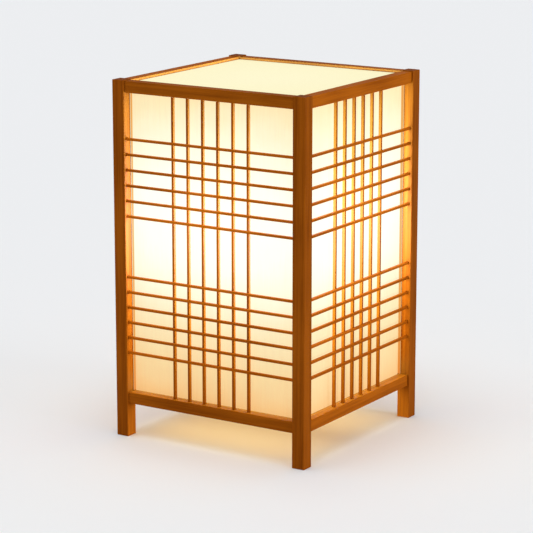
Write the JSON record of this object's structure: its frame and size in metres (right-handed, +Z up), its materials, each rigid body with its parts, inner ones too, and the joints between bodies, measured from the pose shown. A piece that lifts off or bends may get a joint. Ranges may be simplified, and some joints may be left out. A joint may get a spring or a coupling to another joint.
{
  "type": "table lamp",
  "caption": "Square wooden shoji table lamp with paper panels behind slat lattices, a lift-out paper top and a screw-in bulb on a stem inside.",
  "frame": {"origin": "on the table under the middle of the lamp", "axes": "+Z up, -Y out of the front face, +X out of the right face"},
  "size_m": [0.214, 0.214, 0.35],
  "materials": {
    "post_wood": "honey-brown stain under satin lacquer",
    "rail_wood": "honey-brown stain under satin lacquer",
    "slat_wood": "honey-brown stain under satin lacquer",
    "ledge_wood": "thin stain",
    "bar_wood": "thin stain",
    "side_paper": "laminated shoji paper, matte and translucent",
    "top_paper": "stiff laminated shoji paper, matte and translucent",
    "stem_steel": "zinc-plated",
    "sleeve_brass": "plain brass",
    "nut_steel": "zinc-plated",
    "bush_plastic": "black",
    "holder_plastic": "black moulded",
    "core_ceramic": "unglazed",
    "shell_brass": "bright sheet brass",
    "contact_bronze": "spring bronze",
    "bulb_opal": "opal",
    "cap_nickel": "nickel-plated",
    "insulator_glass": "black glass",
    "button_solder": "solder"
  },
  "bodies": {
    "lamp": {"post_front_right": "post_wood", "post_back_right": "post_wood", "post_back_left": "post_wood", "post_front_left": "post_wood", "top_rail_front": "rail_wood", "top_rail_right": "rail_wood", "top_rail_back": "rail_wood", "top_rail_left": "rail_wood", "bottom_rail_front": "rail_wood", "bottom_rail_right": "rail_wood", "bottom_rail_back": "rail_wood", "bottom_rail_left": "rail_wood", "lattice_front": "slat_wood", "lattice_right": "slat_wood", "lattice_back": "slat_wood", "lattice_left": "slat_wood", "paper_front": "side_paper", "paper_right": "side_paper", "paper_back": "side_paper", "paper_left": "side_paper", "top_ledge_front": "ledge_wood", "top_ledge_right": "ledge_wood", "top_ledge_back": "ledge_wood", "top_ledge_left": "ledge_wood", "holder_bar": "bar_wood", "stem_tube": "stem_steel", "stem_sleeve": "sleeve_brass", "stem_washer": "nut_steel", "stem_nut": "nut_steel", "cord_bush": "bush_plastic", "holder_cap": "holder_plastic", "holder_core": "core_ceramic", "holder_screw_shell": "shell_brass", "holder_contact": "contact_bronze", "holder_skirt": "holder_plastic"},
    "top": {"top_panel": "top_paper"},
    "bulb_tip": {"bulb_contact": "button_solder"},
    "bulb": {"bulb_glass": "bulb_opal", "bulb_cap": "cap_nickel", "bulb_insulator": "insulator_glass"}
  },
  "joints": [
    {"name": "top_panel_lift", "type": "slide", "parent": "lamp", "child": "top", "axis": [0, 0, 1], "range_m": [0, 0.06]},
    {"name": "bulb_rise", "type": "slide", "parent": "lamp", "child": "bulb_tip", "axis": [0, 0, 1], "range_m": [0, 0.0182]},
    {"name": "bulb_turn", "type": "hinge", "parent": "bulb_tip", "child": "bulb", "pos_m": [0, 0, 0.1378], "axis": [0, 0, 1], "range_deg": [0, 1800]}
  ],
  "couplings": [
    {"joint": "bulb_rise", "follows": "bulb_turn", "m_per_rad": 0.0005774}
  ]
}
